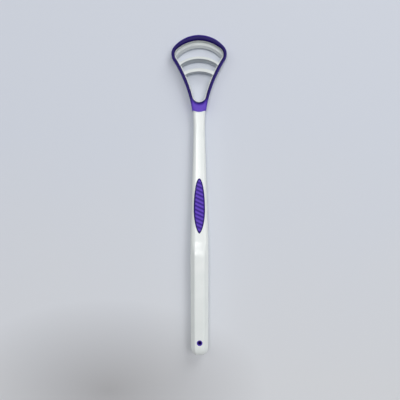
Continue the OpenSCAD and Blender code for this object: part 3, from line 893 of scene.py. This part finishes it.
# %% Tang and frame
TANG_N, TANG_TIP, TANG_GAP = 48, 0.3, 0.02
TANG_SHARES = np.array([0, 0.9, 1, 1, 0])[:, None]
tang_a = np.linspace(0, 2 * np.pi, TANG_N, endpoint=False) + np.pi / TANG_N
deep, root = border_y - TANG_L, mix(loop_y - LOOP_R, border_y, CORE) - TANG_GAP
tang_y = np.array([deep, deep, deep + TANG_TIP, root, root])[:, None]
tang_r = TANG_SHARES * box_radius(tang_a)
tang_points = np.stack([tang_r * np.cos(tang_a) * TANG_W / 2,
                        np.broadcast_to(tang_y, tang_r.shape),
                        WEB_MID + tang_r * np.sin(tang_a) * TANG_T / 2], -1)
rows, cols = frame_points.shape[:2]
frame_all = np.concatenate([frame_points.reshape(-1, 3), tang_points.reshape(-1, 3)])
frame_quads = np.concatenate([grid_faces(rows, cols, ring=True, loop=True),
                              grid_faces(*tang_r.shape, ring=True, start=rows * cols)])
ring_frame = make_piece("ring_frame", frame_all, frame_quads)
place(ring_frame, "head_frame", hard_white)

# %% [markdown]
# ## The blades
#
# Three arched edges do the scraping. Each could be an arc with a Bevel modifier, but its
# ends have to meet the curved wall of the loop. So a section of front and back points is
# carried along its arc, and each point's run ends where its own circle meets the wall,
# sunk into it by a hair. Near the ends the section widens into a fillet, as a mould
# cutter leaves it. The steep front is painted greyest: painted shade on the face turned
# away from the light.

# %% Where a circle meets the loop's wall
BLADE_R, BLADE_TOP, BACK_RUN = 19.0, 5.2, 0.15


def wall_radius(line, centre_y, angle):
    """How far the wall is from a centre on the middle line, in directions measured
    from +Y: the line in polar form, read by interpolation."""
    right = line[:half_n]
    turn = np.arctan2(right[:, 0], right[:, 1] - centre_y)
    order = np.argsort(turn)
    return np.interp(np.abs(angle), turn[order],
                     np.hypot(right[:, 0], right[:, 1] - centre_y)[order])


def end_angle(line, centre_y, radius):
    """The direction, from +Y, in which a circle meets the wall."""
    shape = np.shape(radius)
    return halved(np.zeros(shape), np.full(shape, np.pi / 2),
                  lambda angle: wall_radius(line, centre_y, angle) > radius)


def arched(r, angle, centre_y, height):
    """Points at radii and directions, from +Y, round a centre on the middle line."""
    return np.stack([r * np.sin(angle), centre_y + r * np.cos(angle),
                     np.broadcast_to(height, r.shape)], -1)


MIDDLE_AT, LOWER_AT = 14.2, 21.8
for at in (MIDDLE_AT, LOWER_AT):
    half = np.degrees(end_angle(ledge_line, TOP_Y - at - BLADE_R, BLADE_R))
    print(f"an edge {at} mm below the top spans {2 * half:.1f} degrees")

# %% A blade's section and its run
LEVELS = [HEAD_LIFT, 1.8, 2.1, 2.5, 3.0, 3.5, 4.0, 4.35, LEDGE_TOP - 0.01,
          LEDGE_TOP + 0.01, 4.7]
CREST_R, CREST_SLACK = 0.3, 0.02
FRONT_POWER, ALONG_POWER, BLADE_ROWS = 1.3, 0.8, 161
FILLET, SINK, FILLET_IN, FILLET_RUN, FILLET_POWER = 0.55, 0.03, 0.4, 0.7, 1.2
TOP_GREY, FRONT_SHADE, FRONT_FADE = 0.2, 0.9, 0.5


def section(edge_w, front_run):
    """Radii and heights of a rounded wedge: up the front, whose run is a power of the
    drop below the top, over a crest with quarter circles, and down the back. Two of
    the levels hug the ledge's top, where the wall steps back."""
    bow = np.linspace(0, np.pi / 2, 6)[1:]
    level = np.array(LEVELS + [BLADE_TOP - CREST_R])
    drop = (BLADE_TOP - level) / (BLADE_TOP - HEAD_LIFT)
    front = BLADE_R - front_run * drop ** FRONT_POWER
    back = BLADE_R + edge_w + BACK_RUN * drop
    bow_z = BLADE_TOP - CREST_R * (1 - np.sin(bow))
    front_bow = front[-1] + (CREST_R - CREST_SLACK) * (1 - np.cos(bow))
    back_bow = back[-1] - (CREST_R - CREST_SLACK) * (1 - np.cos(bow))
    crest = np.linspace(front_bow[-1], back_bow[-1], 6)[1:-1]
    radius = np.concatenate([front, front_bow, crest, back_bow[::-1], back[::-1]])
    height = np.concatenate([level, bow_z, np.full(len(crest), BLADE_TOP),
                             bow_z[::-1], level[::-1]])
    return radius, height


def blade(name, at, edge_w, front_run):
    """A section carried along its arc, each point on its own circle from wall to wall.
    The fillet widens it by a bell curve of the distance to the wall."""
    centre_y = TOP_Y - at - BLADE_R
    radius, height = section(edge_w, front_run)
    middle = BLADE_R + edge_w / 2
    away = np.sign(radius - middle) * smooth(np.abs(radius - middle) / FILLET_IN)
    low_end = end_angle(ledge_line, centre_y, radius + FILLET * away)
    high_end = end_angle(inner_line, centre_y, radius + FILLET * away)
    ends = np.where(height < LEDGE_TOP, low_end, high_end) + SINK / BLADE_R
    along = np.sin(np.linspace(-np.pi / 2, np.pi / 2, BLADE_ROWS))[:, None]
    along = np.sign(along) * np.abs(along) ** ALONG_POWER
    to_wall = (1 - np.abs(along)) * ends * BLADE_R
    r = radius + FILLET * away * np.exp(-(to_wall / FILLET_RUN) ** FILLET_POWER)
    # Painted shade: the steep front is greyed most, the rest only a little for thin
    # plastic.
    front_face = smooth((BLADE_TOP - height) / FRONT_FADE) * (radius < middle)
    grey = mix(TOP_GREY, FRONT_SHADE, front_face) * np.ones(r.shape)
    return make_piece(name, arched(r, along * ends, centre_y, height), bar_faces(*r.shape),
                      thin=grey)


print("a section has", len(section(1.4, 1.0)[0]), "points")

# %% Middle and lower blade
middle_blade = blade("middle_arch", MIDDLE_AT, edge_w=1.4, front_run=1.0)
place(middle_blade, "middle_blade", hard_white)
lower_blade = blade("lower_arch", LOWER_AT, edge_w=2.0, front_run=0.3)
place(lower_blade, "lower_blade", hard_white)

# %% [markdown]
# ## The upper lip
#
# The first edge is only a low lip that slopes down from the rim. It fills the space
# between its own arc and the arch, so it isn't an even wedge. Its section
# runs from the arc to the wall in each direction from the arc's centre.

# %% Upper lip
LIP_TOP, UPPER_AT, UPPER_RUN, LIP_ROWS, EDGE_EASE = 2.5, 5.1, 1.8, 201, 1.04
MIDDLE_GREY, END_SHADE, SLOPE_SHADE, SLOPE_FADE = 0.25, 0.5, 0.3, 0.6
lip_y = TOP_Y - UPPER_AT - BLADE_R
reach = float(end_angle(ledge_line, lip_y, BLADE_R - UPPER_RUN))
angle = np.linspace(-reach, reach, LIP_ROWS)[:, None]
wall_r = wall_radius(ledge_line, lip_y, angle)
slope = np.linspace(0, 1, 9)[None, :]
front_r = np.minimum(BLADE_R - UPPER_RUN * (1 - slope), wall_r)
front_z = mix(HEAD_LIFT, LIP_TOP, np.minimum(slope * EDGE_EASE, 1)) * np.ones_like(angle)
flat_r = mix(np.minimum(BLADE_R, wall_r), wall_r, np.linspace(0, 1, 7)[None, 1:])
flat_z = np.full(flat_r.shape, LIP_TOP)
lip_r = np.concatenate([front_r, flat_r, wall_r], 1)
lip_z = np.concatenate([front_z, flat_z, HEAD_LIFT * np.ones_like(angle)], 1)
# A little grey all over for thin plastic, then painted shade: greyer towards the ends under
# the rim's shoulders and greyest on the front slope.
grey = (mix(MIDDLE_GREY, END_SHADE, np.abs(angle) / reach)
        + SLOPE_SHADE * smooth((BLADE_R - lip_r) / SLOPE_FADE))
upper_lip = make_piece("upper_lip", arched(lip_r, angle, lip_y, lip_z),
                       bar_faces(*lip_r.shape), thin=grey)
place(upper_lip, "upper_blade", hard_white)

# %% [markdown]
# ## Floor and light
#
# The tool lies on a plain pale surface, cooler towards the head, with a painted shadow at
# the lower left: a darker patch where a soft shadow falls. Its paleness is its own colour.
# One big lamp could light it all, but the photograph has soft shadows to more than one
# side. So five area lamps share the work: the far and the right one throw most of the
# shadow, the ceiling and the left one fill, and a small one almost overhead gives the
# bright stripe on the neck. The world fills a little. Where the camera sees it, it is
# paler, as a backdrop.

# %% Floor
FLOOR_HALF, CLOUD_SHARE = 1.5, 0.3
PATCH_AT, PATCH_R = (-0.0551, -0.11825), (0.095, 0.055)
corners = [(side_x * FLOOR_HALF, side_y * FLOOR_HALF, 0)
           for side_x, side_y in ((-1, -1), (1, -1), (1, 1), (-1, 1))]
floor_mesh = bpy.data.meshes.new("floor")
floor_mesh.from_pydata(corners, [], [(0, 1, 2, 3)])
floor = bpy.data.objects.new("floor", floor_mesh)
scene.collection.objects.link(floor)

pale_floor, tree, spot = new_material("matte_laminate")
north = node(tree, "ShaderNodeSeparateXYZ", {"Vector": spot}).outputs["Y"]
cool = ranged(tree, north, -0.12, 0.1, 0, 1)
mixed = node(tree, "ShaderNodeMath",
             {0: noise(tree, spot, 70, 2.0), 1: CLOUD_SHARE, 2: cool},
             operation="MULTIPLY_ADD").outputs[0]
tone = colour_ramp(tree, mixed, (0.15, "#e2e4e8"), (1.15 / 1.3, "#dce1eb"))
# A painted shadow: the floor darkens towards a patch at the lower left, where a soft shadow
# falls.
patch = node(tree, "ShaderNodeMapping",
             {"Vector": spot, "Scale": (1 / PATCH_R[0], 1 / PATCH_R[1], 0),
              "Location": (-PATCH_AT[0] / PATCH_R[0], -PATCH_AT[1] / PATCH_R[1], 0)})
far = node(tree, "ShaderNodeVectorMath", {0: patch.outputs["Vector"]},
           operation="LENGTH").outputs["Value"]
painted_shadow = colour_ramp(tree, far, (0.0, "#cccac9"), (1.0, "#ffffff"))
tone = blend(tree, 1.0, tone, painted_shadow, blend_type="MULTIPLY")
shaded(tree, Base_Color=tone, Roughness=0.7, IOR=1.45)
floor_mesh.materials.append(pale_floor)

# %% Lamps
LAMP_AWAY = 2.4
LAMPS = {"ceiling_lamp": ((0, 0.03, 1.0), (1.2, 1.2), 9),
         "top_lamp": ((-0.14, 0.12, 1.0), (0.65, 0.55), 10),
         "far_lamp": ((0.43, 0.75, 0.5), (1.2, 1.2), 18.5),
         "left_lamp": ((-0.6, 0.35, 0.72), (1.2, 1.2), 6),
         "right_lamp": ((0.49, 0.09, 0.87), (1.2, 1.2), 13)}


def soft_lamp(name, direction, size, power):
    """An area lamp that looks at the tool from a direction. Its own z points away
    from the tool, and its x stays level."""
    lamp = bpy.data.lights.new(name, "AREA")
    lamp.shape, lamp.size, lamp.size_y = "RECTANGLE", *size
    lamp.energy = power
    unit = np.array(direction, float) / np.linalg.norm(direction)
    side = np.cross((0, 1, 0), unit)
    side /= np.linalg.norm(side)
    turn = np.eye(4)
    turn[:3, 0], turn[:3, 1], turn[:3, 2] = side, np.cross(unit, side), unit
    turn[:3, 3] = unit * LAMP_AWAY
    holder = bpy.data.objects.new(name, lamp)
    holder.matrix_world = turn.T.tolist()
    scene.collection.objects.link(holder)


for name, settings in LAMPS.items():
    soft_lamp(name, *settings)
print(len(LAMPS), "lamps of", sum(power for _, _, power in LAMPS.values()), "W together")

# %% World and view
world = bpy.data.worlds.new("room_light")
world.use_nodes = True
tree = world.node_tree
seen = node(tree, "ShaderNodeLightPath").outputs["Is Camera Ray"]
backdrop = tree.nodes["Background"].inputs
tree.links.new(ranged(tree, seen, 0, 1, 0.14, 1.0), backdrop["Strength"])
backdrop["Color"].default_value = linear("#d6dae1")
scene.world = world
scene.view_settings.view_transform = "Standard"
print("world", world.name, "with", len(tree.nodes), "nodes")
